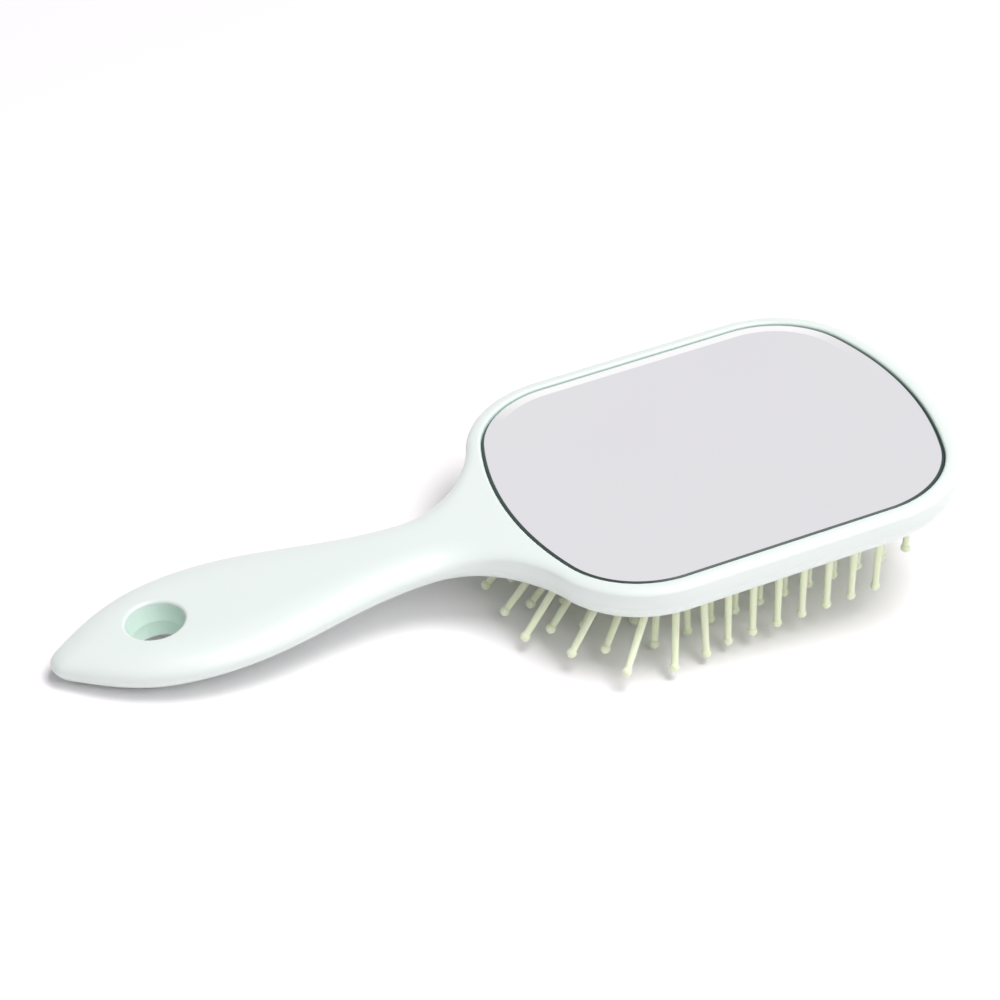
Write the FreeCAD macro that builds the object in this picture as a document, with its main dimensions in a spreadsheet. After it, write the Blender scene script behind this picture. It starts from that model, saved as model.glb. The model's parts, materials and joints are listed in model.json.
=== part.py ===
import FreeCAD, Part
import math
import os
import Sketcher

# Cushioned paddle hair brush with a hand mirror on its back, lying mirror up.
# Brush frame: X from handle to head tip, Z out of the mirror, origin above the mirror's middle on the
# flat of the back. At the end the brush is laid down on its handle heel and its pins.

Vector = FreeCAD.Vector
QUARTER = math.pi / 2
doc = FreeCAD.newDocument("MirrorBrush")

SIZES = {
    "mirror_half_length": 55.2,
    "mirror_half_width": 45.05,
    "mirror_corner_radius": 24.5,
    "mirror_end_radius": 88.0,
    "mirror_thickness": 1.6,
    "mirror_bevel": 0.75,
    "mirror_sink": 0.1,
    "mirror_gap": 0.15,
    "pad_thickness": 0.4,
    "pad_inset": 4.0,
    "rim_width": 4.0,
    "head_thickness": 9.6,
    "thickness_taper": 0.006,
    "parting_depth": 5.4,
    "head_widest_depth": 1.5,
    "handle_widest_depth": 4.2,
    "head_back_round": 2.6,
    "head_front_round": 3.6,
    "neck_distance": 20.3,
    "neck_half_width": 10.6,
    "neck_round": 7.5,
    "shoulder_angle": 20.0,
    "shoulder_pull": 10.0,
    "throat_pull": 13.0,
    "handle_length": 93.0,
    "belly_heel_distance": 39.5,
    "belly_half_width": 19.9,
    "belly_round": 11.0,
    "belly_pull": 20.0,
    "heel_radius": 5.0,
    "heel_angle": 50.0,
    "heel_pull": 8.0,
    "heel_round": 4.2,
    "heel_draw": 10.0,
    "heel_draw_span": 30.0,
    "hole_heel_distance": 26.5,
    "hole_radius": 6.5,
    "hole_mouth_radius": 7.2,
    "core_margin": 5.0,
    "core_back_depth": 2.9,
    "core_front_depth": 2.8,
    "hole_wall": 5.0,
    "peg_radius": 1.5,
    "peg_height": 1.8,
    "peg_gap": 0.1,
    "peg_head_distance": 8.8,
    "peg_heel_distance": 12.5,
    "opening_inset": 4.9,
    "air_pocket_depth": 2.4,
    "flange_width": 1.8,
    "flange_thickness": 1.2,
    "cushion_gap": 0.2,
    "cushion_wall": 1.1,
    "cushion_drop": 4.4,
    "cushion_crown_radius": 1100.0,
    "cushion_edge_radius": 2.2,
    "vent_radius": 0.7,
    "pin_length": 20.0,
    "pin_root_radius": 1.05,
    "pin_end_radius": 0.85,
    "pin_ball_radius": 1.25,
    "pin_button_radius": 1.4,
    "pin_gap": 0.12,
    "pin_neck_margin": 3.2,
    "pin_tip_margin": 4.4,
    "row_pitch": 6.9,
    "column_pitch": 9.7,
    "lean_angle": 6.5,
    "fan_splay_angle": 14.5,
    "pressed_lean_angle": 47.0,
    "pressed_splay_angle": 30.5,
    "pressed_reach": 12.0,
    "pressed_blend": 28.0,
}
ROW_COUNT = 15
COLUMN_COUNT = 9
OUTLINE_STEP = 3.5

sheet = doc.addObject("Spreadsheet::Sheet", "Sizes")
for line, (alias, value) in enumerate(SIZES.items(), start=1):
    sheet.set(f"A{line}", alias)
    sheet.set(f"B{line}", str(value))
    sheet.setAlias(f"B{line}", alias)
doc.recompute()


def size(alias):
    return float(sheet.get(alias))


def formula(text):
    """Write a size formula the way an expression needs it, with the sheet's name before each alias."""
    words = [f"Sizes.{word}" if word in SIZES else word for word in text.split()]
    return " ".join(words)


def amount(text):
    return float(sheet.evalExpression(formula(text)))


def origin_plane(body, role):
    return next(plane for plane in body.Origin.OriginFeatures if plane.Role == role)


# Barrel outline: straight sides, round corners and gently bowed ends, shared by the mirror and all that
# is parallel to it. Every outline is the mirror's edge moved out by a growth.

def barrel(growth):
    """Half length, half width, corner radius, end radius and corner centre of a grown mirror outline."""
    half_length = size("mirror_half_length") + growth
    half_width = size("mirror_half_width") + growth
    corner = size("mirror_corner_radius") + growth
    end = size("mirror_end_radius") + growth
    rise = half_width - corner
    corner_x = half_length - end + math.sqrt((end - corner) ** 2 - rise ** 2)
    return half_length, half_width, corner, end, corner_x


def barrel_sketch(body, name, growth_text):
    """Sketch a grown mirror outline on the body's XY plane, held by four dimensions of the sheet."""
    half_length, half_width, corner, end, corner_x = barrel(amount(growth_text))
    rise = half_width - corner
    end_x = half_length - end
    sweep = math.atan2(rise, corner_x - end_x)
    up = Vector(0, 0, 1)

    def arc(x, y, radius, start, stop):
        return Part.ArcOfCircle(Part.Circle(Vector(x, y, 0), up, radius), start, stop)

    half_turn = 2 * QUARTER
    pieces = [
        arc(end_x, 0, end, -sweep, sweep),
        arc(corner_x, rise, corner, sweep, QUARTER),
        Part.LineSegment(Vector(corner_x, half_width, 0), Vector(-corner_x, half_width, 0)),
        arc(-corner_x, rise, corner, QUARTER, half_turn - sweep),
        arc(-end_x, 0, end, half_turn - sweep, half_turn + sweep),
        arc(-corner_x, -rise, corner, half_turn + sweep, 3 * QUARTER),
        Part.LineSegment(Vector(-corner_x, -half_width, 0), Vector(corner_x, -half_width, 0)),
        arc(corner_x, -rise, corner, 3 * QUARTER, 2 * half_turn - sweep),
    ]
    sketch = body.newObject("Sketcher::SketchObject", name)
    sketch.AttachmentSupport = [(origin_plane(body, "XY_Plane"), "")]
    sketch.MapMode = "FlatFace"
    sketch.addGeometry(pieces, False)
    for index in range(len(pieces)):
        following = (index + 1) % len(pieces)
        sketch.addConstraint(Sketcher.Constraint("Tangent", index, 2, following, 1))
    for other in (3, 5, 7):
        sketch.addConstraint(Sketcher.Constraint("Equal", 1, other))
    sketch.addConstraint(Sketcher.Constraint("Equal", 0, 4))
    for straight in (2, 6):
        sketch.addConstraint(Sketcher.Constraint("Horizontal", straight))
    sketch.addConstraint(Sketcher.Constraint("PointOnObject", 0, 3, -1))
    sketch.addConstraint(Sketcher.Constraint("Symmetric", 0, 3, 4, 3, -1, 1))
    dimensions = (
        ("corner", Sketcher.Constraint("Radius", 1, corner), "mirror_corner_radius"),
        ("end", Sketcher.Constraint("Radius", 0, end), "mirror_end_radius"),
        ("left", Sketcher.Constraint("DistanceY", -1, 1, 2, 1, half_width), "mirror_half_width"),
        ("right", Sketcher.Constraint("DistanceY", 6, 1, -1, 1, half_width), "mirror_half_width"),
        ("reach", Sketcher.Constraint("DistanceX", 0, 3, -1, 1, -end_x),
         "mirror_end_radius - mirror_half_length"),
    )
    for label, constraint, text in dimensions:
        index = sketch.addConstraint(constraint)
        sketch.renameConstraint(index, label)
        grown = text if label == "reach" else f"{text} + {growth_text}"
        sketch.setExpression(f"Constraints.{label}", formula(grown))
    return sketch


def barrel_plate(name, growth_text, top_text, thickness_text):
    """A flat plate with a grown mirror outline, whose upper face lies at the given height."""
    body = doc.addObject("PartDesign::Body", name)
    sketch = barrel_sketch(body, f"{name}_outline", growth_text)
    sketch.setExpression("AttachmentOffset.Base.z", formula(top_text))
    pad = body.newObject("PartDesign::Pad", f"{name}_pad")
    pad.Profile = sketch
    pad.Reversed = True
    pad.setExpression("Length", formula(thickness_text))
    sketch.Visibility = False
    doc.recompute()
    return body, pad


def cylinder(name, radius_text, height_text, place):
    piece = doc.addObject("Part::Cylinder", name)
    piece.setExpression("Radius", formula(radius_text))
    piece.setExpression("Height", formula(height_text))
    for axis, text in place.items():
        piece.setExpression(f"Placement.Base.{axis}", formula(text))
    return piece


def cut(name, base, tools):
    merged = doc.addObject("Part::MultiFuse", f"{name}_cutters")
    merged.Shapes = tools
    result = doc.addObject("Part::Cut", name)
    result.Base = base
    result.Tool = merged
    return result


# Mirror: a flat glass plate with a ground bevel, laid in the recess of the back on a sheet of double
# sided foam tape.

MIRROR_SEAT = "mirror_sink + mirror_thickness + pad_thickness"
mirror, mirror_pad_feature = barrel_plate(
    "mirror", "0", "0 - mirror_sink", "mirror_thickness")
bevel = mirror.newObject("PartDesign::Chamfer", "mirror_ground_edge")
upper_face = next(
    index for index, face in enumerate(mirror.Shape.Faces, start=1)
    if face.normalAt(0, 0).z > 0.99)
bevel.Base = (mirror_pad_feature, [f"Face{upper_face}"])
bevel.setExpression("Size", formula("mirror_bevel"))

mirror_tape, _ = barrel_plate(
    "mirror_tape", "0 - pad_inset", "0 - mirror_sink - mirror_thickness", "pad_thickness")
recess, _ = barrel_plate("mirror_recess", "mirror_gap", "0", MIRROR_SEAT)

# Body: one closed plan outline, rounded over towards the back and towards the pins, and parted into two
# shells below its widest line. The pin side slopes, so that the handle is thicker than the head.

HEAD_GROWTH = size("rim_width")
HEAD_END = "mirror_half_length + rim_width"
NECK_REACH = f"{HEAD_END} + neck_distance"
HANDLE_REACH = f"{NECK_REACH} + handle_length"
NECK_X = -amount(NECK_REACH)
HEEL_X = -amount(HANDLE_REACH)
BELLY_X = HEEL_X + size("belly_heel_distance")


def pulled_curve(start, start_pull, stop_pull, stop):
    curve = Part.BezierCurve()
    curve.setPoles([start, start + start_pull, stop + stop_pull, stop])
    return curve.toShape()


def arc_edge(centre, radius, start, stop):
    middle = (start + stop) / 2
    points = [
        centre + Vector(math.cos(angle), math.sin(angle), 0) * radius for angle in (start, middle, stop)]
    return Part.Arc(*points).toShape()


def half_outline():
    """Edges of the plan outline on its left half, from the heel of the handle to the tip of the head."""
    half_length, half_width, corner, end, corner_x = barrel(HEAD_GROWTH)
    rise = half_width - corner
    heel_stop = math.pi - math.radians(size("heel_angle"))
    heel_centre = Vector(HEEL_X + size("heel_radius"), 0, 0)
    heel = arc_edge(heel_centre, size("heel_radius"), math.pi, heel_stop)
    heel_end = heel_centre + Vector(math.cos(heel_stop), math.sin(heel_stop), 0) * size("heel_radius")
    heel_way = Vector(math.sin(heel_stop), -math.cos(heel_stop), 0)
    along = Vector(1, 0, 0)
    belly = Vector(BELLY_X, size("belly_half_width"), 0)
    neck = Vector(NECK_X, size("neck_half_width"), 0)
    shoulder_angle = math.pi - math.radians(size("shoulder_angle"))
    shoulder_out = Vector(math.cos(shoulder_angle), math.sin(shoulder_angle), 0)
    shoulder_way = Vector(shoulder_out.y, -shoulder_out.x, 0)
    left_corner = Vector(-corner_x, rise, 0)
    right_corner = Vector(corner_x, rise, 0)
    shoulder = left_corner + shoulder_out * corner
    sweep = math.atan2(rise, corner_x - half_length + end)
    return [
        heel,
        pulled_curve(heel_end, heel_way * size("heel_pull"), along * -size("belly_pull"), belly),
        pulled_curve(belly, along * size("belly_pull"), along * -size("belly_pull"), neck),
        pulled_curve(neck, along * size("throat_pull"), shoulder_way * -size("shoulder_pull"), shoulder),
        arc_edge(left_corner, corner, shoulder_angle, QUARTER),
        Part.LineSegment(Vector(-corner_x, half_width, 0), Vector(corner_x, half_width, 0)).toShape(),
        arc_edge(right_corner, corner, QUARTER, sweep),
        arc_edge(Vector(half_length - end, 0, 0), end, sweep, 0),
    ]


def eased(share):
    share = min(max(share, 0.0), 1.0)
    return share * share * (3 - 2 * share)


def along_handle(x, heel, belly, neck, head):
    """Ease a size from the heel past the belly and the neck to the head, where it stays the same."""
    stations = [
        (HEEL_X, heel),
        (BELLY_X, belly),
        (NECK_X, neck),
        (-size("mirror_half_length"), head),
    ]
    for (near_x, near_size), (far_x, far_size) in zip(stations, stations[1:]):
        if x < far_x:
            return near_size + (far_size - near_size) * eased((x - near_x) / (far_x - near_x))
    return head


def round_width(x, head_width):
    """How far the rounding reaches in from the outline: narrow at the head and heel, broad at the belly."""
    return along_handle(x, size("heel_round"), size("belly_round"), size("neck_round"), head_width)


def rounding_reach(point, out, head_width):
    """Which way and how far the rounding runs out to a point of the outline, drawn long at the heel."""
    heel_share = eased(1 - (point.x - HEEL_X) / size("heel_draw_span"))
    return out * round_width(point.x, head_width) - Vector(size("heel_draw") * heel_share, 0, 0)


def widest_depth(x):
    handle = size("handle_widest_depth")
    return along_handle(x, handle, handle, handle, size("head_widest_depth"))


def thickness_at(x):
    return size("head_thickness") - size("thickness_taper") * x


def outline_stations():
    """Points along the half outline with their outward directions, square to the middle at both ends."""
    stations = []
    for edge in half_outline():
        count = max(4, round(edge.Length / OUTLINE_STEP))
        first, last = edge.ParameterRange
        for step in range(count):
            parameter = first + (last - first) * step / count
            way = edge.tangentAt(parameter)
            stations.append((edge.valueAt(parameter), Vector(-way.y, way.x, 0)))
    heel_point, heel_out = stations[0]
    tip_point = Vector(barrel(HEAD_GROWTH)[0], 0, 0)
    tip_out = Vector(1, 0, 0)
    heel_side = Vector(0, stations[1][0].y / 2, 0)
    tip_side = Vector(0, stations[-1][0].y / 2, 0)
    stations.insert(1, (heel_point + heel_side, heel_out))
    stations += [(tip_point + tip_side, tip_out), (tip_point, tip_out)]
    return stations


def elliptic_section(point, reach, depth, start, stop):
    """Poles and weights of an elliptic arc at one point of the outline.

    The arc turns from start to stop, where 0 is the widest line and a quarter turn the flat face."""
    level = Vector(0, 0, -widest_depth(point.x))
    centre = point - reach + level
    half = (stop - start) / 2
    middle = (start + stop) / 2

    def place(angle, stretch):
        return centre + (reach * math.cos(angle) + Vector(0, 0, depth * math.sin(angle))) * stretch

    poles = [place(start, 1), place(middle, 1 / math.cos(half)), place(stop, 1)]
    return poles, [1, math.cos(half), 1]


def edge_strip(section_at):
    """Surface that carries a section along the half outline."""
    sections = [section_at(point, out) for point, out in outline_stations()]
    spans = len(sections) - 3
    surface = Part.BSplineSurface()
    surface.buildFromPolesMultsKnots(
        [poles for poles, _ in sections],
        [4] + [1] * (spans - 1) + [4],
        [3, 3],
        list(range(spans + 1)),
        [0, 1],
        False,
        False,
        3,
        2,
        [weights for _, weights in sections])
    return surface


def shell_blank(strips):
    """Solid inside a run of edge strips and their mirror images, closed flat above and below."""
    middle = Vector(0, 0, 0)
    across = Vector(0, 1, 0)
    faces = []
    for strip in strips:
        left = strip.toShape()
        faces += [left, left.mirror(middle, across)]
    for rim in (strips[0].vIso(0), strips[-1].vIso(1)):
        edge = rim.toShape()
        faces.append(Part.Face(Part.Wire([edge, edge.mirror(middle, across)])))
    shell = Part.makeShell(faces)
    shell.sewShape()
    solid = Part.makeSolid(shell)
    if solid.Volume < 0:
        solid.reverse()
    return solid


def back_section(point, out):
    reach = rounding_reach(point, out, size("head_back_round"))
    return elliptic_section(point, reach, widest_depth(point.x), QUARTER, 0)


def front_round(point, out):
    """Reach and depth of the rounding towards the pins, and its angle at the parting plane."""
    reach = rounding_reach(point, out, size("head_front_round"))
    depth = thickness_at(point.x - reach.x) - widest_depth(point.x)
    parting = math.asin((size("parting_depth") - widest_depth(point.x)) / depth)
    return reach, depth, parting


def skirt_section(point, out):
    reach, depth, parting = front_round(point, out)
    return elliptic_section(point, reach, -depth, 0, parting)


def front_section(point, out):
    reach, depth, parting = front_round(point, out)
    return elliptic_section(point, reach, -depth, parting, QUARTER)


back_blank = doc.addObject("Part::Feature", "back_blank")
back_blank.Shape = shell_blank([edge_strip(back_section), edge_strip(skirt_section)])
front_blank = doc.addObject("Part::Feature", "front_blank")
front_blank.Shape = shell_blank([edge_strip(front_section)])

# Hang hole: a straight bore through the pin side, flared through the back.

HOLE_REACH = f"{HANDLE_REACH} - hole_heel_distance"
HOLE_X = f"0 - ( {HOLE_REACH} )"
BELOW = "handle_length"
hole_mouth = doc.addObject("Part::Cone", "hole_mouth")
hole_mouth.setExpression("Radius1", formula("hole_radius"))
hole_mouth.setExpression("Radius2", formula("hole_mouth_radius"))
hole_mouth.setExpression("Height", formula("parting_depth"))
hole_mouth.setExpression("Placement.Base.x", formula(HOLE_X))
hole_mouth.setExpression("Placement.Base.z", formula("0 - parting_depth"))
hole_bore = cylinder(
    "hole_bore", "hole_radius", BELOW,
    {"x": HOLE_X, "z": f"0 - parting_depth - {BELOW}"})

# Core: a long slot that lightens the handle between the hang hole and the neck, half in each shell.

CORE_RADIUS = "neck_half_width - core_margin"
CORE_BASE = "0 - parting_depth - core_front_depth"
CORE_HEIGHT = "core_front_depth + core_back_depth"
CORE_HEEL_END = f"{HOLE_REACH} - hole_mouth_radius - hole_wall - ( {CORE_RADIUS} )"
CORE_NECK_END = f"{HEAD_END} + peg_head_distance + peg_radius + core_margin + {CORE_RADIUS}"
core_ends = [
    cylinder(name, CORE_RADIUS, CORE_HEIGHT, {"x": f"0 - ( {reach} )", "z": CORE_BASE})
    for name, reach in (("core_heel_end", CORE_HEEL_END), ("core_neck_end", CORE_NECK_END))]
core_slot = doc.addObject("Part::Box", "core_slot")
core_slot.setExpression("Length", formula(f"{CORE_HEEL_END} - ( {CORE_NECK_END} )"))
core_slot.setExpression("Width", formula(f"2 * ( {CORE_RADIUS} )"))
core_slot.setExpression("Height", formula(CORE_HEIGHT))
core_slot.setExpression("Placement.Base.x", formula(f"0 - ( {CORE_HEEL_END} )"))
core_slot.setExpression("Placement.Base.y", formula(f"0 - ( {CORE_RADIUS} )"))
core_slot.setExpression("Placement.Base.z", formula(CORE_BASE))
core = doc.addObject("Part::MultiFuse", "core")
core.Shapes = core_ends + [core_slot]

# Pegs: two stubs under the back shell that drop into sockets of the front shell.

PEG_REACHES = {
    "neck": f"{HEAD_END} + peg_head_distance",
    "heel": f"{HANDLE_REACH} - peg_heel_distance",
}
pegs = []
sockets = []
for place, reach in PEG_REACHES.items():
    peg_x = f"0 - ( {reach} )"
    pegs.append(cylinder(
        f"peg_{place}", "peg_radius", "peg_height",
        {"x": peg_x, "z": "0 - parting_depth - peg_height"}))
    sockets.append(cylinder(
        f"socket_{place}", "peg_radius + peg_gap", "peg_height + peg_gap",
        {"x": peg_x, "z": "0 - parting_depth - peg_height - peg_gap"}))

# Outlines of the pin side, all parallel to the rim: the opening that the cushion swells through, the
# seat that its flange is clamped in, and the air pocket behind it.

OPENING = "rim_width - opening_inset"
SEAT = f"{OPENING} + flange_width"
DOME = f"{OPENING} - cushion_gap"
DOME_INSIDE = f"{DOME} - cushion_wall"
opening, _ = barrel_plate("cushion_opening", OPENING, "0 - parting_depth", BELOW)
seat, _ = barrel_plate("flange_seat", SEAT, "0 - parting_depth", "flange_thickness")
air_pocket, _ = barrel_plate(
    "air_pocket", DOME_INSIDE, "air_pocket_depth - parting_depth", "air_pocket_depth")

back_body = cut("back_body", back_blank, [recess, hole_mouth, core, air_pocket])
back_shell = doc.addObject("Part::MultiFuse", "back_shell")
back_shell.Shapes = [back_body] + pegs
front_shell = cut("front_shell", front_blank, [opening, seat, hole_bore, core] + sockets)

# Cushion: a moulded rubber pillow with a clamped flange, hollow for its air, crowned like a large ball,
# with a hole for each pin and a vent.

CROWN_LEVEL = "parting_depth + cushion_drop"


def pillow(name, growth_text, radius_text, edge_text):
    """Plate with a ball crowned lower face and a rounded lower edge."""
    plate, _ = barrel_plate(f"{name}_plate", growth_text, "0 - parting_depth", f"2 * ( {CROWN_LEVEL} )")
    ball = doc.addObject("Part::Sphere", f"{name}_ball")
    ball.setExpression("Radius", formula(radius_text))
    ball.setExpression("Placement.Base.z", formula(f"cushion_crown_radius - ( {CROWN_LEVEL} )"))
    crowned = doc.addObject("Part::Common", f"{name}_crowned")
    crowned.Base = plate
    crowned.Tool = ball
    doc.recompute()
    rounded = doc.addObject("Part::Fillet", name)
    rounded.Base = crowned
    flat_top = -size("parting_depth")
    radius = amount(edge_text)
    rounded.Edges = [
        (index, radius, radius) for index, edge in enumerate(crowned.Shape.Edges, start=1)
        if all(vertex.Z < flat_top - radius for vertex in edge.Vertexes)]
    return rounded


pillow_outside = pillow("pillow_outside", DOME, "cushion_crown_radius", "cushion_edge_radius")
pillow_inside = pillow(
    "pillow_inside", DOME_INSIDE, "cushion_crown_radius - cushion_wall",
    "cushion_edge_radius - cushion_wall")
flange, _ = barrel_plate("cushion_flange", f"{SEAT} - cushion_gap", "0 - parting_depth", "flange_thickness")

# Pins: nylon stems with a ball at the end and a button inside the cushion. They lean a little towards the
# neck and fan out from row to row, and the weight of the brush presses the last rows wide apart.

DOWN = Vector(0, 0, -1)
ROW_SPAN = size("row_pitch") * (ROW_COUNT - 1) / 2
COLUMN_SPAN = size("column_pitch") * (COLUMN_COUNT - 1) / 2


def inside_barrel(x, y, growth):
    half_length, half_width, corner, end, corner_x = barrel(growth)
    x = abs(x)
    y = abs(y)
    rise = half_width - corner
    if y > half_width or math.hypot(x - half_length + end, y) > end:
        return False
    in_corner = x > corner_x and y > rise
    return not in_corner or math.hypot(x - corner_x, y - rise) <= corner


def slope(angle_alias):
    return math.tan(math.radians(size(angle_alias)))


def fan_share(x):
    """How far the fan has opened: 0 in the row at the tip, 1 in the row at the neck."""
    return (ROW_SPAN - x) / (2 * ROW_SPAN)


def pressed_share(x):
    """1 in the rows at the neck that carry the brush, easing to 0 in the middle."""
    return eased((-x - size("pressed_reach")) / size("pressed_blend"))


def row_way(x):
    """Direction of a row's pins in the middle of the brush, from button to ball."""
    lean = slope("lean_angle") + slope("pressed_lean_angle") * pressed_share(x) ** 3
    return Vector(-lean, 0, -1)


def pin_way(x, y):
    splay = slope("fan_splay_angle") * fan_share(x) ** 2
    splay += slope("pressed_splay_angle") * pressed_share(x)
    return row_way(x) + Vector(0, splay * y / COLUMN_SPAN, 0)


def cushion_level(x, y):
    radius = size("cushion_crown_radius")
    return radius - amount(CROWN_LEVEL) - math.sqrt(radius ** 2 - x ** 2 - y ** 2)


def pin_places(x):
    """Placement of each pin of the row at x, its root on the outside of the cushion."""
    margin = size("pin_neck_margin") if x < 0 else size("pin_tip_margin")
    places = []
    for column in range(COLUMN_COUNT):
        y = size("column_pitch") * column - COLUMN_SPAN
        if inside_barrel(x, y, amount(DOME) - margin):
            turn = FreeCAD.Rotation(DOWN, pin_way(x, y))
            places.append(FreeCAD.Placement(Vector(x, y, cushion_level(x, y)), turn))
    return places


def button_lift(place):
    """How far along the stem the button stands from the root, clear of the cushion's inside."""
    upright = -place.Rotation.multVec(DOWN).z
    return (size("cushion_wall") + size("pin_gap") + size("pin_button_radius")) / upright


def pin_shape(place):
    lift = button_lift(place)
    ball_level = size("pin_ball_radius") - size("pin_length")
    stem = Part.makeCone(
        size("pin_end_radius"), size("pin_root_radius"), lift - ball_level, Vector(0, 0, ball_level))
    ball = Part.makeSphere(size("pin_ball_radius"), Vector(0, 0, ball_level))
    button = Part.makeSphere(size("pin_button_radius"), Vector(0, 0, lift))
    return stem.fuse([ball, button]).removeSplitter()


def hole_shape(place):
    reach = button_lift(place)
    return Part.makeCylinder(size("pin_root_radius") + size("pin_gap"), 2 * reach, Vector(0, 0, -reach))


def set_out(make_shape, places):
    copies = []
    for place in places:
        piece = make_shape(place)
        piece.Placement = place.multiply(piece.Placement)
        copies.append(piece)
    return Part.makeCompound(copies)


row_places = [pin_places(size("row_pitch") * row - ROW_SPAN) for row in range(ROW_COUNT)]
all_places = [place for places in row_places for place in places]
pin_rows = []
for number, places in enumerate(row_places, start=1):
    pin_row = doc.addObject("Part::Feature", f"pin_row_{number:02d}")
    pin_row.Shape = set_out(pin_shape, places)
    pin_rows.append(pin_row)
pin_holes = doc.addObject("Part::Feature", "pin_holes")
pin_holes.Shape = set_out(hole_shape, all_places)
vent = cylinder(
    "vent", "vent_radius", BELOW,
    {"x": "row_pitch / 2", "z": f"0 - parting_depth - {BELOW}"})
cushion_skin = doc.addObject("Part::MultiFuse", "cushion_skin")
cushion_skin.Shapes = [pillow_outside, flange]
cushion_hollow = cut("cushion_hollow", cushion_skin, [pillow_inside, vent])
cushion = doc.addObject("Part::Cut", "cushion")
cushion.Base = cushion_hollow
cushion.Tool = pin_holes
doc.recompute()

# Rest: the brush tips back until the heel of its handle and its pins stand on the same level.


def floor_direction(pitch):
    return Vector(math.sin(pitch), 0, math.cos(pitch))


def heel_level(pitch):
    """Lowest height of the heel's elliptic edge along the floor's direction."""
    width = size("heel_round") + size("heel_draw")
    centre = Vector(HEEL_X + width, 0, -size("handle_widest_depth"))
    depth = thickness_at(centre.x) - size("handle_widest_depth")
    return centre.dot(floor_direction(pitch)) - math.hypot(width * math.sin(pitch), depth * math.cos(pitch))


def pin_level(pitch):
    ball = DOWN * (size("pin_length") - size("pin_ball_radius"))
    up = floor_direction(pitch)
    return min(place.multVec(ball).dot(up) for place in all_places) - size("pin_ball_radius")


def rest_pitch():
    low = 0.0
    high = math.pi / 4
    while high - low > 1e-9:
        pitch = (low + high) / 2
        if pin_level(pitch) < heel_level(pitch):
            low = pitch
        else:
            high = pitch
    return high


NODES = [back_shell, front_shell, mirror, mirror_tape, cushion] + pin_rows
pitch = rest_pitch()
tilt = FreeCAD.Rotation(Vector(0, 1, 0), -math.degrees(pitch))
spread = FreeCAD.BoundBox()
for node in NODES:
    tilted = node.Shape.copy()
    tilted.Placement = FreeCAD.Placement(Vector(), tilt).multiply(tilted.Placement)
    spread.add(tilted.optimalBoundingBox(False, False))
rest = FreeCAD.Placement(Vector(-spread.Center.x, -spread.Center.y, -heel_level(pitch)), tilt)
for node in NODES:
    node.Label = node.Name
    node.Placement = rest
doc.recompute()

for item in doc.Objects:
    if "Invalid" in item.State or "Error" in item.State:
        raise RuntimeError(f"{item.Name} failed: {item.State}")
for node in NODES:
    if node.Shape.isNull() or not node.Shape.isValid():
        raise RuntimeError(f"{node.Label} has no valid shape")

os.makedirs("parts", exist_ok=True)
for node in NODES:
    node.Shape.exportStep(os.path.join("parts", f"{node.Label}.step"))

print(f"rest pitch {math.degrees(pitch):.3f} degrees, lift {rest.Base.z:.4f} mm, shift {rest.Base.x:.4f} mm")
for node in NODES:
    print(node.Label, len(node.Shape.Solids), "solids", round(node.Shape.Volume, 2), "mm3", node.Shape.BoundBox)
for number in range(1, ROW_COUNT + 1):
    x = size("row_pitch") * (number - 1) - ROW_SPAN
    push = tilt.multVec(row_way(x) * -1).normalize()
    root = rest.multVec(Vector(x, 0, cushion_level(x, 0)))
    print(f"row {number:02d} push {tuple(push)} root {tuple(root)}")
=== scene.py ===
import json
import math
import bmesh
import bpy
from mathutils import Matrix, Vector


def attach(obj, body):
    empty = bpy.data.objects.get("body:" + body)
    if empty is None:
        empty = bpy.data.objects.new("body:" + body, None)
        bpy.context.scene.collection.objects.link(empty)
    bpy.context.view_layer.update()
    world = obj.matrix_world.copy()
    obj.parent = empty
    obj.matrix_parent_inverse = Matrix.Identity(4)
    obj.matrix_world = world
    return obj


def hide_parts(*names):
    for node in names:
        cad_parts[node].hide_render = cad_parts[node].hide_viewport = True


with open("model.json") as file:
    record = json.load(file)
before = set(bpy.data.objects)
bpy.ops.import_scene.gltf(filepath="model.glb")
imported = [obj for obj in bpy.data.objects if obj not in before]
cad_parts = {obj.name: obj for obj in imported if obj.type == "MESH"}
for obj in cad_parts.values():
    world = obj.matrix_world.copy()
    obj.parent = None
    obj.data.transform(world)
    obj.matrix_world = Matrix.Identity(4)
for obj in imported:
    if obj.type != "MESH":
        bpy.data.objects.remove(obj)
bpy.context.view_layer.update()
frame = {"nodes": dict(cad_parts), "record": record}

# Lie of the brush: it is drawn in millimetres with X from handle to head tip and Z out of the mirror, and
# laid down as it rests, on the heel of its handle and on its pins. The hang hole's mount says where that is.

MM = 0.001
HOLE_REACH = 146.0
PARTING = 5.4
HEAD_THICKNESS = 9.6
THICKNESS_TAPER = 0.006


def thickness(x):
    return HEAD_THICKNESS - THICKNESS_TAPER * x


hang_hole = frame["record"]["mounts"][0]
up = Vector(hang_hole["axis"])
along = Vector((up.z, 0, -up.x))
turn = Matrix((along, Vector((0, 1, 0)), up)).transposed()
hole_middle = Vector((-HOLE_REACH, 0, -(PARTING + thickness(-HOLE_REACH)) / 2))
place = Vector(hang_hole["pos_m"]) - turn @ hole_middle * MM
lie = Matrix.Translation(place) @ turn.to_4x4() @ Matrix.Scale(MM, 4)

# Body: two shells moulded in glossy ABS, pressed together below the widest line of head, neck and handle.
# The shells keep a fine seam, and every edge that a hand can meet is rounded.

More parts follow.
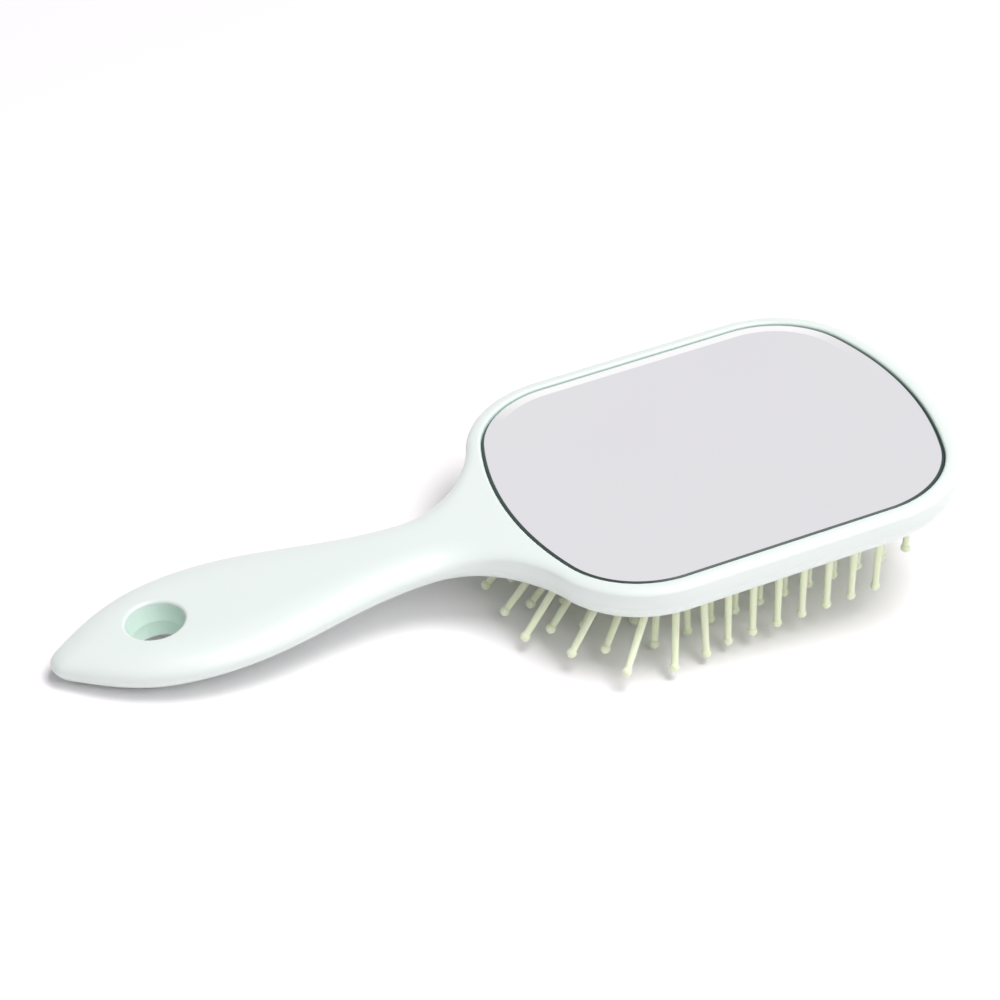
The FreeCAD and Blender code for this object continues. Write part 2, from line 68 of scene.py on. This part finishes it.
QUARTER = math.pi / 2
MIRROR_HALF_LENGTH = 55.2
MIRROR_HALF_WIDTH = 45.05
MIRROR_CORNER = 24.5
MIRROR_END = 88.0
RIM_WIDTH = 4.0
HANDLE_REACH = 172.5
HEEL_RADIUS = 5.0
HEEL_ANGLE = 50
HEEL_PULL = 8.0
BELLY_X = -133.0
BELLY_HALF_WIDTH = 19.9
BELLY_PULL = 20.0
NECK_X = -79.5
NECK_HALF_WIDTH = 10.6
THROAT_PULL = 13.0
SHOULDER_ANGLE = 20
SHOULDER_PULL = 10.0


def barrel(growth):
    """Half length, half width, corner radius, end radius and corner centre of the grown mirror outline."""
    half_length = MIRROR_HALF_LENGTH + growth
    half_width = MIRROR_HALF_WIDTH + growth
    corner = MIRROR_CORNER + growth
    end = MIRROR_END + growth
    corner_x = half_length - end + math.sqrt((end - corner) ** 2 - (half_width - corner) ** 2)
    return half_length, half_width, corner, end, corner_x


def arc(x, y, radius, start, stop, steps):
    """Points of an arc with their outward directions, without the last one."""
    stations = []
    for step in range(steps):
        angle = start + (stop - start) * step / steps
        out = Vector((math.cos(angle), math.sin(angle), 0))
        stations.append((Vector((x, y, 0)) + out * radius, out))
    return stations


def pulled(start, start_pull, stop_pull, stop, steps):
    """Points of a curve that leaves and arrives along its pulls, with their outward directions."""
    a, b, c, d = start, start + start_pull, stop + stop_pull, stop
    stations = []
    for step in range(steps):
        t = step / steps
        s = 1 - t
        point = a * s ** 3 + b * (3 * s * s * t) + c * (3 * s * t * t) + d * t ** 3
        way = (b - a) * (s * s) + (c - b) * (2 * s * t) + (d - c) * (t * t)
        stations.append((point, Vector((-way.y, way.x, 0)).normalized()))
    return stations


def body_outline():
    """Stations along the plan outline of the body's left side, from the heel to the tip of the head."""
    half_length, half_width, corner, end, corner_x = barrel(RIM_WIDTH)
    rise = half_width - corner
    heel_x = HEEL_RADIUS - HANDLE_REACH
    heel_stop = math.pi - math.radians(HEEL_ANGLE)
    heel_out = Vector((math.cos(heel_stop), math.sin(heel_stop), 0))
    heel_end = Vector((heel_x, 0, 0)) + heel_out * HEEL_RADIUS
    heel_way = Vector((heel_out.y, -heel_out.x, 0))
    forward = Vector((1, 0, 0))
    belly = Vector((BELLY_X, BELLY_HALF_WIDTH, 0))
    neck = Vector((NECK_X, NECK_HALF_WIDTH, 0))
    belly_pull = forward * BELLY_PULL
    shoulder_angle = math.pi - math.radians(SHOULDER_ANGLE)
    shoulder_out = Vector((math.cos(shoulder_angle), math.sin(shoulder_angle), 0))
    shoulder = Vector((-corner_x, rise, 0)) + shoulder_out * corner
    shoulder_way = Vector((shoulder_out.y, -shoulder_out.x, 0))
    sweep = math.atan2(rise, corner_x - half_length + end)
    stations = arc(heel_x, 0, HEEL_RADIUS, math.pi, heel_stop, 8)
    stations += pulled(heel_end, heel_way * HEEL_PULL, -belly_pull, belly, 30)
    stations += pulled(belly, belly_pull, -belly_pull, neck, 36)
    stations += pulled(neck, forward * THROAT_PULL, -shoulder_way * SHOULDER_PULL, shoulder, 36)
    stations += arc(-corner_x, rise, corner, shoulder_angle, QUARTER, 40)
    straight = Vector((2 * corner_x, 0, 0))
    side = Vector((-corner_x, half_width, 0))
    stations += [(side + straight * (step / 20), Vector((0, 1, 0))) for step in range(20)]
    stations += arc(corner_x, rise, corner, QUARTER, sweep, 40)
    stations += arc(half_length - end, 0, end, sweep, 0, 24)
    return stations + [(Vector((half_length, 0, 0)), forward)]


def eased(share):
    share = min(max(share, 0), 1)
    return share * share * (3 - 2 * share)


def along_handle(x, heel, belly, neck, head):
    """Ease a size from the heel past belly and neck to the head, where it stays the same."""
    stations = [(-HANDLE_REACH, heel), (BELLY_X, belly), (NECK_X, neck), (-MIRROR_HALF_LENGTH, head)]
    for (near_x, near), (far_x, far) in zip(stations, stations[1:]):
        if x < far_x:
            return near + (far - near) * eased((x - near_x) / (far_x - near_x))
    return head


HANDLE_WIDEST_DEPTH = 4.2
HEAD_WIDEST_DEPTH = 1.5
HEEL_ROUND = 4.2
BELLY_ROUND = 11.0
NECK_ROUND = 7.5
HEAD_BACK_ROUND = 2.6
HEAD_FRONT_ROUND = 3.6
HEEL_DRAW = 10.0
HEEL_DRAW_SPAN = 30.0
SEAM = 0.05
ROUND_STEPS = 10
LIP_STEPS = 4


def side_profile(point, out):
    """Section through the body's edge at one station: the back shell's points, then the front shell's."""
    handle_depths = [HANDLE_WIDEST_DEPTH] * 3
    handle_rounds = [HEEL_ROUND, BELLY_ROUND, NECK_ROUND]
    widest = along_handle(point.x, *handle_depths, HEAD_WIDEST_DEPTH)
    heel_draw = Vector((HEEL_DRAW * eased(1 - (point.x + HANDLE_REACH) / HEEL_DRAW_SPAN), 0, 0))
    back_reach = out * along_handle(point.x, *handle_rounds, HEAD_BACK_ROUND) - heel_draw
    front_reach = out * along_handle(point.x, *handle_rounds, HEAD_FRONT_ROUND) - heel_draw
    front_depth = thickness(point.x - front_reach.x) - widest
    parting = math.asin((PARTING - widest) / front_depth)

    def at(reach, depth, angle):
        return point - reach * (1 - math.cos(angle)) + Vector((0, 0, depth * math.sin(angle) - widest))

    seam_angle = SEAM / front_depth
    edge = at(front_reach, -front_depth, parting) - out * SEAM
    angles = [parting - seam_angle + (seam_angle - parting) * step / 4 for step in range(4)]
    back = [edge] + [at(front_reach, -front_depth, angle) for angle in angles]
    back += [at(back_reach, widest, QUARTER * step / ROUND_STEPS) for step in range(ROUND_STEPS + 1)]
    start = parting + seam_angle
    front = [edge] + [
        at(front_reach, -front_depth, start + (QUARTER - start) * step / ROUND_STEPS)
        for step in range(ROUND_STEPS + 1)]
    return back, front


def new_loop(bm, points):
    return [bm.verts.new(point) for point in points]


def join_loops(bm, first, second, material=0):
    for index in range(len(first)):
        following = (index + 1) % len(first)
        face = bm.faces.new((first[index], first[following], second[following], second[index]))
        face.material_index = material


def fill_between(bm, *loops, material=0):
    """Fill a flat face inside the first loop, with the other loops as holes in it."""
    edges = []
    for loop in loops:
        for first, second in zip(loop, loop[1:] + loop[:1]):
            edges.append(bm.edges.get((first, second)) or bm.edges.new((first, second)))
    filled = bmesh.ops.triangle_fill(bm, use_beauty=True, edges=edges)
    for item in filled["geom"]:
        if isinstance(item, bmesh.types.BMFace):
            item.material_index = material


def wall(bm, rings, material=0):
    """Skin a run of point rings and return its first and last loops."""
    loops = [new_loop(bm, ring) for ring in rings]
    for first, second in zip(loops, loops[1:]):
        join_loops(bm, first, second, material)
    return loops[0], loops[-1]


def barrel_ring(growth, height):
    """Points round the grown mirror outline, at a height that may depend on x."""
    half_length, half_width, corner, end, corner_x = barrel(growth)
    rise = half_width - corner
    sweep = math.atan2(rise, corner_x - half_length + end)
    half = arc(half_length - end, 0, end, 0, sweep, 14)
    half += arc(corner_x, rise, corner, sweep, QUARTER, 30)
    half += [(Vector((corner_x - 2 * corner_x * step / 16, half_width, 0)), None) for step in range(16)]
    half += arc(-corner_x, rise, corner, QUARTER, math.pi - sweep, 30)
    half += arc(end - half_length, 0, end, math.pi - sweep, math.pi, 14)
    points = [point for point, _ in half]
    points += [Vector((-point.x, -point.y, 0)) for point in points]
    return [Vector((point.x, point.y, height(point.x))) for point in points]


def round_ring(radius, height):
    ring = [point for point, _ in arc(-HOLE_REACH, 0, radius, 0, 4 * QUARTER, 64)]
    return [Vector((point.x, point.y, height(point.x))) for point in ring]


def lip_rings(make_ring, grown, radius, face, inward):
    """Rings that round an opening's edge, from the flat face at a height over x into the wall."""
    rings = []
    for step in range(LIP_STEPS + 1):
        angle = QUARTER * step / LIP_STEPS
        out = radius * (1 - math.sin(angle))
        drop = radius * (1 - math.cos(angle)) * inward
        rings.append(make_ring(grown + out, lambda x, drop=drop: face(x) + drop))
    return rings


def finished(bm, name, body, sharp=32):
    """Turn a drawn mesh into a smooth object, sharp past an angle, that lies and rides with a body."""
    bmesh.ops.recalc_face_normals(bm, faces=bm.faces)
    for edge in bm.edges:
        edge.smooth = edge.calc_face_angle(0) < math.radians(sharp)
    for face in bm.faces:
        face.smooth = True
    mesh = bpy.data.meshes.new(name)
    bm.to_mesh(mesh)
    bm.free()
    mesh.transform(lie)
    piece = bpy.data.objects.new(name, mesh)
    bpy.context.scene.collection.objects.link(piece)
    weighted = piece.modifiers.new("flat faces stay flat", "WEIGHTED_NORMAL")
    weighted.keep_sharp = True
    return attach(piece, body)


def node(tree, kind, settings=None, **links):
    """Add a shader node, set its values, and link the named inputs to other nodes' outputs."""
    made = tree.nodes.new(kind)
    for key, value in (settings or {}).items():
        if hasattr(made, key):
            setattr(made, key, value)
        else:
            made.inputs[key].default_value = value
    for key, source in links.items():
        tree.links.new(source, made.inputs[key.replace("_", " ")])
    return made


def linear(hex_colour):
    """An sRGB hex colour as linear RGBA."""
    channels = [int(hex_colour[start:start + 2], 16) / 255 for start in (1, 3, 5)]
    return [c / 12.92 if c <= 0.04045 else ((c + 0.055) / 1.055) ** 2.4 for c in channels] + [1]


def new_material(name, settings):
    """A material with a surface shader of the given values; returns it with its tree, shader and place."""
    material = bpy.data.materials.new(name)
    material.use_nodes = True
    tree = material.node_tree
    shader = tree.nodes["Principled BSDF"]
    for key, value in settings.items():
        shader.inputs[key].default_value = value
    position = node(tree, "ShaderNodeTexCoord").outputs["Object"]
    return material, tree, shader, position


def per_metre(millimetres):
    return 1 / (millimetres * MM)


def mottled(tree, shader, pattern, first, second):
    """Let the base colour drift between two colours over a pattern."""
    tint = node(tree, "ShaderNodeMix", {"data_type": "RGBA"}, Factor=pattern.outputs["Fac"])
    tint.inputs[6].default_value = linear(first)
    tint.inputs[7].default_value = linear(second)
    tree.links.new(tint.outputs[2], shader.inputs["Base Color"])


def uneven_gloss(tree, shader, pattern, low, high):
    """Let the roughness drift between two values over a pattern."""
    gloss = node(tree, "ShaderNodeMapRange", {"To Min": low, "To Max": high}, Value=pattern.outputs["Fac"])
    tree.links.new(gloss.outputs[0], shader.inputs["Roughness"])


def raised(tree, shader, height, strength, depth):
    """Raise and sink the surface over a pattern's height, by a depth in millimetres."""
    relief = node(tree, "ShaderNodeBump", {"Strength": strength, "Distance": depth * MM}, Height=height)
    tree.links.new(relief.outputs[0], shader.inputs["Normal"])


# Polished mould ABS: pale mint, with a clear gloss that is broken only by a soft wave of the moulding and
# by faint differences in how shiny it is.
abs_gloss, tree, shader, position = new_material("ABS_glossy_moulded", {"IOR": 1.53})
cloud = node(tree, "ShaderNodeTexNoise", {"Scale": per_metre(45), "Detail": 2}, Vector=position)
mottled(tree, shader, cloud, "#DFE7E3", "#E2E9E6")
rub = node(tree, "ShaderNodeTexNoise", {"Scale": per_metre(6), "Detail": 5}, Vector=position)
uneven_gloss(tree, shader, rub, 0.26, 0.34)
wave = node(tree, "ShaderNodeTexNoise", {"Scale": per_metre(9), "Detail": 1}, Vector=position)
raised(tree, shader, wave.outputs["Fac"], 0.05, 0.2)

# The same ABS where the mould wasn't polished, inside the hang hole and round the mirror's recess: satin,
# and given a brighter, mintier colour that is painted glow of light coming through the thin plastic.
abs_satin_painted_glow, tree, shader, position = new_material(
    "ABS_satin_with_painted_glow", {"IOR": 1.53, "Base Color": linear("#DBF0E6")})
grain = node(tree, "ShaderNodeTexNoise", {"Scale": per_metre(0.7), "Detail": 3}, Vector=position)
uneven_gloss(tree, shader, grain, 0.4, 0.55)

MIRROR_GAP = 0.15
RECESS_DEPTH = 2.1
OPENING_INSET = 4.9
OPENING = RIM_WIDTH - OPENING_INSET
CUSHION_GAP = 0.2
CUSHION_WALL = 1.1
DOME = OPENING - CUSHION_GAP
DOME_INSIDE = DOME - CUSHION_WALL
AIR_POCKET_DEPTH = 2.4
HOLE_RADIUS = 6.5
HOLE_MOUTH = 7.2
HOLE_FRONT_MOUTH = 7.1
LIP = 0.5
RECESS_LIP = 0.8
MOUTH_LIP = 0.9
profiles = [side_profile(point, out) for point, out in body_outline()]


def outer_rings(which):
    """Rings round the whole body through the sections of one shell."""
    sections = [profile[which] for profile in profiles]
    rings = []
    for level in range(len(sections[0])):
        left = [section[level] for section in sections]
        right = [Vector((point.x, -point.y, point.z)) for point in reversed(left[1:-1])]
        rings.append(left + right)
    return rings


def flat_back(x):
    return 0


def front_face(x):
    return -thickness(x)


def parting_plane(x):
    return -PARTING


bm = bmesh.new()
seam, back_edge = wall(bm, outer_rings(0))
recess = lip_rings(barrel_ring, MIRROR_GAP, RECESS_LIP, flat_back, -1)
recess_lip, recess_throat = wall(bm, recess[:3])
# The recess wall and the lower half of its lip take the satin ABS, whose brighter mint is painted glow.
recess_wall, recess_floor = wall(
    bm, recess[3:] + [barrel_ring(MIRROR_GAP, lambda x: -RECESS_DEPTH)], material=1)
join_loops(bm, recess_throat, recess_wall, material=1)
# The hang hole's wall in the back shell takes the satin ABS, whose brighter mint is painted glow.
mouth = lip_rings(round_ring, HOLE_MOUTH, MOUTH_LIP, flat_back, -1)
mouth_lip, mouth_throat = wall(bm, mouth)
mouth_floor = new_loop(bm, round_ring(HOLE_RADIUS, parting_plane))
join_loops(bm, mouth_throat, mouth_floor, material=1)
fill_between(bm, back_edge, recess_lip, mouth_lip)
fill_between(bm, recess_floor)
pocket_mouth, pocket_roof = wall(bm, [
    barrel_ring(DOME_INSIDE, parting_plane),
    barrel_ring(DOME_INSIDE, lambda x: AIR_POCKET_DEPTH - PARTING)])
fill_between(bm, seam, mouth_floor, pocket_mouth)
fill_between(bm, pocket_roof)
back_shell = finished(bm, "back_shell_moulding", "brush_body")
back_shell.data.materials.append(abs_gloss)
back_shell.data.materials.append(abs_satin_painted_glow)
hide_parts("back_shell")

bm = bmesh.new()
seam, front_edge = wall(bm, outer_rings(1))
opening = lip_rings(barrel_ring, OPENING, LIP, front_face, 1)
opening_lip, opening_top = wall(bm, opening + [barrel_ring(OPENING, parting_plane)])
# The hang hole's bore in the front shell takes the satin ABS, whose brighter mint is painted glow.
bore = lip_rings(round_ring, HOLE_FRONT_MOUTH, LIP, front_face, 1)
bore_lip, bore_throat = wall(bm, bore)
bore_top = new_loop(bm, round_ring(HOLE_RADIUS, parting_plane))
join_loops(bm, bore_throat, bore_top, material=1)
fill_between(bm, front_edge, opening_lip, bore_lip)
fill_between(bm, seam, opening_top, bore_top)
front_shell = finished(bm, "front_shell_moulding", "brush_body")
front_shell.data.materials.append(abs_gloss)
front_shell.data.materials.append(abs_satin_painted_glow)
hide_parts("front_shell")

# Mirror tape: a sheet of white closed-cell foam with glue on both sides, under the whole glass. It is the
# frame's own solid, and only the cells of the foam are added.

foam, tree, shader, position = new_material(
    "PE_foam_tape", {"Base Color": linear("#E4E3DE"), "Roughness": 0.9, "IOR": 1.5})
cells = node(tree, "ShaderNodeTexVoronoi", {"Scale": per_metre(0.6)}, Vector=position)
raised(tree, shader, cells.outputs["Distance"], 0.4, 0.1)
frame["nodes"]["mirror_tape"].data.materials.clear()
frame["nodes"]["mirror_tape"].data.materials.append(foam)

# Mirror: float glass silvered behind, cut to the barrel outline of the head. A shallow polished bevel runs
# round it, and its edge is ground off steeply. That edge has the glass's green, darkened by painted shade
# and dark reflection into a dark line where it faces the eye.

MIRROR_TOP = -0.1
MIRROR_THICKNESS = 1.6
GROUND_WIDTH = 0.75
BEVEL_WIDTH = 3.0
BEVEL_DROP = 0.26
silver, tree, shader, position = new_material(
    "float_glass_silvered", {"Metallic": 1.0, "Roughness": 0.02})
haze = node(tree, "ShaderNodeTexNoise", {"Scale": per_metre(60), "Detail": 1}, Vector=position)
mottled(tree, shader, haze, "#FAF9FB", "#FDFDFD")
# Ground edge: the glass's own green, made darker than it is as painted shade and dark reflection.
ground_edge_painted_dark, tree, shader, position = new_material(
    "float_glass_ground_painted_dark", {"IOR": 1.52, "Base Color": linear("#334240")})
grit = node(tree, "ShaderNodeTexNoise", {"Scale": per_metre(0.4), "Detail": 3}, Vector=position)
uneven_gloss(tree, shader, grit, 0.3, 0.5)

bm = bmesh.new()
# The ground edge and the underside take the darkened ground glass, the painted dark line.
under, top = wall(bm, [
    barrel_ring(0, lambda x: MIRROR_TOP - MIRROR_THICKNESS),
    barrel_ring(0, lambda x: MIRROR_TOP - BEVEL_DROP - GROUND_WIDTH),
    barrel_ring(-GROUND_WIDTH, lambda x: MIRROR_TOP - BEVEL_DROP)], material=1)
fill_between(bm, under, material=1)
face = new_loop(bm, barrel_ring(-GROUND_WIDTH - BEVEL_WIDTH, lambda x: MIRROR_TOP))
join_loops(bm, top, face)
fill_between(bm, face)
mirror = finished(bm, "mirror_glass", "brush_body", sharp=4)
mirror.data.materials.append(silver)
mirror.data.materials.append(ground_edge_painted_dark)
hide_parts("mirror")

# Cushion: a hollow pillow of moulded rubber, held by its flange between the shells. Air inside keeps it
# crowned, and the pins stand in it.

CUSHION_DROP = 4.4
CROWN = PARTING + CUSHION_DROP
CROWN_RADIUS = 1100.0
CUSHION_EDGE = 2.2
FLANGE_WIDTH = 1.8
FLANGE_THICKNESS = 1.2
SKIN_STEP = 2.5
SKIN_RINGS = 7
MIDDLE_RINGS = 8
EDGE_STEPS = 6


def crown_level(point):
    return CROWN_RADIUS - CROWN - math.sqrt(CROWN_RADIUS ** 2 - point.x ** 2 - point.y ** 2)


def crown_ring(growth, lift):
    ring = barrel_ring(growth, flat_back)
    return [Vector((point.x, point.y, crown_level(point) + lift)) for point in ring]


def crown_skin(growth, lift):
    """Rings over the crown from an edge inwards, the last ones shrinking to its middle."""
    rings = [crown_ring(growth - step * SKIN_STEP, lift) for step in range(1, SKIN_RINGS + 1)]
    inner = rings[-1]
    for step in range(1, MIDDLE_RINGS + 1):
        ring = [point * (1 - step / (MIDDLE_RINGS + 1)) for point in inner]
        rings.append([Vector((point.x, point.y, crown_level(point) + lift)) for point in ring])
    return rings


rubber, tree, shader, position = new_material("rubber_moulded_soft", {"IOR": 1.5})
mottle = node(tree, "ShaderNodeTexNoise", {"Scale": per_metre(12), "Detail": 4}, Vector=position)
mottled(tree, shader, mottle, "#CFD8D1", "#D8E0DA")
skin_grain = node(tree, "ShaderNodeTexNoise", {"Scale": per_metre(0.5), "Detail": 2}, Vector=position)
uneven_gloss(tree, shader, skin_grain, 0.5, 0.65)
raised(tree, shader, skin_grain.outputs["Fac"], 0.2, 0.1)


def flange_under(x):
    return -PARTING - FLANGE_THICKNESS


rings = [
    barrel_ring(DOME + FLANGE_WIDTH, parting_plane),
    barrel_ring(DOME + FLANGE_WIDTH, flange_under),
    barrel_ring(DOME, flange_under)]
for step in range(EDGE_STEPS + 1):
    angle = QUARTER * step / EDGE_STEPS
    rings.append(crown_ring(
        DOME - CUSHION_EDGE * (1 - math.cos(angle)), CUSHION_EDGE * (1 - math.sin(angle))))
rings += crown_skin(DOME - CUSHION_EDGE, 0)
hollow = [barrel_ring(DOME_INSIDE, parting_plane), crown_ring(DOME_INSIDE, CUSHION_WALL)]
hollow += crown_skin(DOME_INSIDE, CUSHION_WALL)
bm = bmesh.new()
top, middle = wall(bm, rings)
hollow_mouth, hollow_middle = wall(bm, hollow)
fill_between(bm, top, hollow_mouth)
fill_between(bm, middle)
fill_between(bm, hollow_middle)
cushion = finished(bm, "cushion_pillow", "brush_body")
cushion.data.materials.append(rubber)
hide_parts("cushion")

# Pins: nylon stems moulded with a ball at the end, pushed through the cushion. The nylon is a little
# cloudy, so light gets into it, and it has a faint yellow green cast.

nylon, tree, shader, position = new_material(
    "nylon_moulded", {"IOR": 1.53, "Subsurface Weight": 0.15, "Subsurface Scale": 0.8 * MM})
drift = node(tree, "ShaderNodeTexNoise", {"Scale": per_metre(14), "Detail": 2}, Vector=position)
mottled(tree, shader, drift, "#E4ECCB", "#EAF1D6")
rub = node(tree, "ShaderNodeTexNoise", {"Scale": per_metre(1), "Detail": 3}, Vector=position)
uneven_gloss(tree, shader, rub, 0.28, 0.4)
for name, pins in frame["nodes"].items():
    if name.startswith("pin_row"):
        pins.data.materials.clear()
        pins.data.materials.append(nylon)

# Studio: a white table that is lit from below away from the brush, so that it meets the backdrop unseen,
# under a grey ceiling. One wide soft light hangs above and another fills in from the front.

table_top, tree, shader, position = new_material(
    "studio_white_paper",
    {"Base Color": linear("#FFFCFE"), "Roughness": 0.9, "Specular IOR Level": 0.0,
     "Emission Color": linear("#FFFFFF")})
away = node(tree, "ShaderNodeVectorMath", {"operation": "LENGTH"}, Vector=position)
glow = node(
    tree, "ShaderNodeMapRange",
    {"interpolation_type": "SMOOTHSTEP", "From Min": 0.35, "From Max": 0.9, "To Min": 0.0, "To Max": 0.8},
    Value=away.outputs["Value"])
tree.links.new(glow.outputs[0], shader.inputs["Emission Strength"])
bpy.ops.mesh.primitive_plane_add(size=12)
table = bpy.context.object
table.name = "studio_table"
table.data.materials.append(table_top)

BACKDROP_TOP = 27
CEILING_EDGE = 31
world = bpy.data.worlds.new("studio_surround")
bpy.context.scene.world = world
world.use_nodes = True
tree = world.node_tree
tree.nodes.clear()
rays = node(tree, "ShaderNodeLightPath")
seen = node(tree, "ShaderNodeMath", {"operation": "MAXIMUM"})
tree.links.new(rays.outputs["Is Camera Ray"], seen.inputs[0])
tree.links.new(rays.outputs["Is Glossy Ray"], seen.inputs[1])
seen_through = node(tree, "ShaderNodeMath", {"operation": "MAXIMUM"})
tree.links.new(seen.outputs[0], seen_through.inputs[0])
tree.links.new(rays.outputs["Is Transmission Ray"], seen_through.inputs[1])
strength = node(tree, "ShaderNodeMapRange", {"To Min": 0.32, "To Max": 1.0}, Value=seen_through.outputs[0])
way = node(tree, "ShaderNodeTexCoord").outputs["Generated"]
height = node(tree, "ShaderNodeSeparateXYZ", Vector=way)
ceiling = node(
    tree, "ShaderNodeMapRange",
    {"From Min": math.sin(math.radians(BACKDROP_TOP)), "From Max": math.sin(math.radians(CEILING_EDGE))},
    Value=height.outputs["Z"])
shade = node(tree, "ShaderNodeMix", {"data_type": "RGBA"}, Factor=ceiling.outputs[0])
shade.inputs[6].default_value = linear("#FFFFFF")
shade.inputs[7].default_value = linear("#E5E4E7")
surround = node(tree, "ShaderNodeBackground", Color=shade.outputs[2], Strength=strength.outputs[0])
node(tree, "ShaderNodeOutputWorld", Surface=surround.outputs[0])


def soft_light(name, position, target, width, watts):
    lamp = bpy.data.lights.new(name, "AREA")
    lamp.shape = "DISK"
    lamp.size = width
    lamp.energy = watts
    holder = bpy.data.objects.new(name, lamp)
    holder.location = position
    holder.rotation_euler = (Vector(target) - Vector(position)).to_track_quat("-Z", "Y").to_euler()
    bpy.context.scene.collection.objects.link(holder)


soft_light("soft_light_over", (0.45, -0.38, 1.8), (0, 0, 0), 1.2, 31)
soft_light("soft_light_front", (0.15, -1.1, 1.0), (0, 0, 0), 0.8, 5.5)

# The camera was set against the outline of the mirror and the hang hole: distance and offsets in
# millimetres in the brush's own frame, angles in radians.
CAMERA_TILT = 0.6282966
CAMERA_TURN = 0.3228505
CAMERA_ROLL = 0.1099557
CAMERA_DISTANCE = 751.5733
CAMERA_OFFSET = (53.6549, 7.8766)
cos_turn, sin_turn = math.cos(CAMERA_TURN), math.sin(CAMERA_TURN)
cos_tilt, sin_tilt = math.cos(CAMERA_TILT), math.sin(CAMERA_TILT)
right = Vector((cos_turn, -sin_turn, 0))
over = Vector((sin_turn * sin_tilt, cos_turn * sin_tilt, cos_tilt))
ahead = Vector((sin_turn * cos_tilt, cos_turn * cos_tilt, -sin_tilt))
eye = right * -CAMERA_OFFSET[0] - over * CAMERA_OFFSET[1] - ahead * CAMERA_DISTANCE
level_right = right * math.cos(CAMERA_ROLL) - over * math.sin(CAMERA_ROLL)
level_over = right * math.sin(CAMERA_ROLL) + over * math.cos(CAMERA_ROLL)
camera = bpy.data.objects.new("camera", bpy.data.cameras.new("camera"))
camera.data.lens = 108
camera.data.sensor_width = 36
camera.data.clip_start = 0.01
facing = turn @ Matrix((level_right, level_over, -ahead)).transposed()
camera.matrix_world = Matrix.Translation(lie @ eye) @ facing.to_4x4()
bpy.context.scene.collection.objects.link(camera)
bpy.context.scene.camera = camera
bpy.context.scene.view_settings.view_transform = "Standard"
